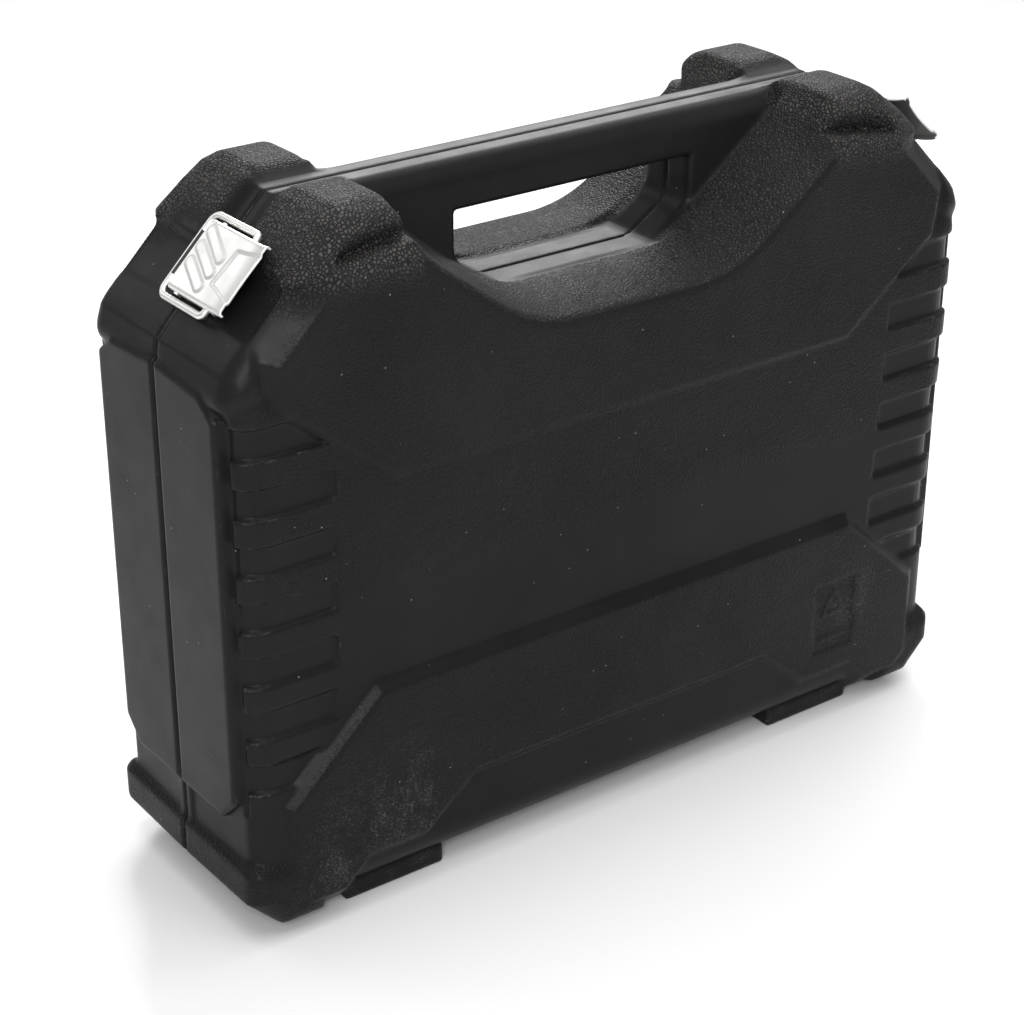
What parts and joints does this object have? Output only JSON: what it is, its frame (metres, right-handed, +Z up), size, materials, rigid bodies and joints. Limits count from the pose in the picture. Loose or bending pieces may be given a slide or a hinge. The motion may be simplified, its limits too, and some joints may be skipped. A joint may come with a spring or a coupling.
{
  "type": "socket wrench set in case",
  "caption": "Moulded clamshell carrying case with an integral handle and two wire-bail latches, holding a tray of ratchets, sockets, extensions and a sliding tee bar.",
  "frame": {"origin": "on the floor below the middle of the closed, standing case", "axes": "+X across the width to the right, +Y from the lid half to the back half through the seam, +Z up to the handle"},
  "size_m": [0.38, 0.115, 0.3],
  "materials": {
    "case_plastic": "grained black blow-moulded polyethylene",
    "tray_plastic": "satin moulded tray",
    "latch_steel": "bright zinc-plated pressed steel",
    "tool_chrome": "satin chrome plate",
    "grip_rubber": "moulded grip",
    "black_switch": "black oxide"
  },
  "bodies": {
    "back_half": {"back_shell": "case_plastic", "back_tray": "tray_plastic", "extension_long": "tool_chrome", "extension_short": "tool_chrome", "hinge_pin_left": "latch_steel", "hinge_pin_right": "latch_steel", "large_socket_12": "tool_chrome", "large_socket_13": "tool_chrome", "large_socket_14": "tool_chrome", "large_socket_15": "tool_chrome", "large_socket_17": "tool_chrome", "large_socket_19": "tool_chrome", "large_socket_22": "tool_chrome", "large_socket_24": "tool_chrome", "large_socket_27": "tool_chrome", "large_socket_32": "tool_chrome", "left_keeper": "case_plastic", "plug_socket_16": "tool_chrome", "plug_socket_21": "tool_chrome", "ratchet_large_body": "tool_chrome", "ratchet_large_grip": "grip_rubber", "ratchet_small_body": "tool_chrome", "ratchet_small_grip": "grip_rubber", "right_keeper": "case_plastic", "small_extension_long": "tool_chrome", "small_extension_short": "tool_chrome", "small_socket_10": "tool_chrome", "small_socket_11": "tool_chrome", "small_socket_12": "tool_chrome", "small_socket_13": "tool_chrome", "small_socket_6": "tool_chrome", "small_socket_7": "tool_chrome", "small_socket_8": "tool_chrome", "small_socket_9": "tool_chrome", "spinner_grip": "grip_rubber", "spinner_shank": "tool_chrome", "tee_bar_rod": "tool_chrome"},
    "front_half": {"front_shell": "case_plastic", "lid_liner": "tray_plastic", "left_latch_block": "case_plastic", "right_latch_block": "case_plastic", "left_pivot_pin": "latch_steel", "right_pivot_pin": "latch_steel"},
    "left_lever": {"left_lever": "latch_steel"},
    "right_lever": {"right_lever": "latch_steel"},
    "left_bail": {"left_bail": "latch_steel"},
    "right_bail": {"right_bail": "latch_steel"},
    "tee_head": {"tee_bar_head": "tool_chrome"},
    "ratchet_large_drive": {"ratchet_large_drive": "tool_chrome"},
    "ratchet_large_selector": {"ratchet_large_selector": "black_switch"},
    "ratchet_large_button": {"ratchet_large_button": "black_switch"},
    "ratchet_small_drive": {"ratchet_small_drive": "tool_chrome"},
    "ratchet_small_selector": {"ratchet_small_selector": "black_switch"},
    "ratchet_small_button": {"ratchet_small_button": "black_switch"}
  },
  "joints": [
    {"name": "lid_hinge", "type": "hinge", "parent": "back_half", "child": "front_half", "pos_m": [0, 0, 0.0035], "axis": [1, 0, 0], "range_deg": [0, 180]},
    {"name": "left_lever_pivot", "type": "hinge", "parent": "front_half", "child": "left_lever", "pos_m": [-0.16724, -0.002, 0.27524], "axis": [-0.7071, 0, -0.7071], "range_deg": [0, 100]},
    {"name": "left_bail_pivot", "type": "hinge", "parent": "left_lever", "child": "left_bail", "pos_m": [-0.16618, -0.022, 0.27418], "axis": [0.7071, 0, 0.7071], "range_deg": [0, 100]},
    {"name": "right_lever_pivot", "type": "hinge", "parent": "front_half", "child": "right_lever", "pos_m": [0.16724, -0.002, 0.27524], "axis": [-0.7071, 0, 0.7071], "range_deg": [0, 100]},
    {"name": "right_bail_pivot", "type": "hinge", "parent": "right_lever", "child": "right_bail", "pos_m": [0.16618, -0.022, 0.27418], "axis": [0.7071, 0, -0.7071], "range_deg": [0, 100]},
    {"name": "ratchet_large_spin", "type": "hinge", "parent": "back_half", "child": "ratchet_large_drive", "pos_m": [-0.148, 0.0156, 0.108], "axis": [0, 1, 0], "continuous": true},
    {"name": "ratchet_large_reverse", "type": "hinge", "parent": "back_half", "child": "ratchet_large_selector", "pos_m": [-0.13622, 0.0156, 0.108], "axis": [0, 1, 0], "range_deg": [-25, 25]},
    {"name": "ratchet_large_release", "type": "slide", "parent": "back_half", "child": "ratchet_large_button", "axis": [0, 1, 0], "range_m": [0, 0.0015], "stiffness_N_per_m": 300},
    {"name": "ratchet_small_spin", "type": "hinge", "parent": "back_half", "child": "ratchet_small_drive", "pos_m": [-0.154, 0.01285, 0.143], "axis": [0, 1, 0], "continuous": true},
    {"name": "ratchet_small_reverse", "type": "hinge", "parent": "back_half", "child": "ratchet_small_selector", "pos_m": [-0.14618, 0.01285, 0.143], "axis": [0, 1, 0], "range_deg": [-25, 25]},
    {"name": "ratchet_small_release", "type": "slide", "parent": "back_half", "child": "ratchet_small_button", "axis": [0, 1, 0], "range_m": [0, 0.0015], "stiffness_N_per_m": 300},
    {"name": "tee_head_slide", "type": "slide", "parent": "back_half", "child": "tee_head", "axis": [1, 0, 0], "range_m": [-0.105, 0.105]}
  ],
  "couplings": [
    {"joint": "left_bail_pivot", "follows": "left_lever_pivot", "ratio": 1},
    {"joint": "right_bail_pivot", "follows": "right_lever_pivot", "ratio": 1}
  ]
}
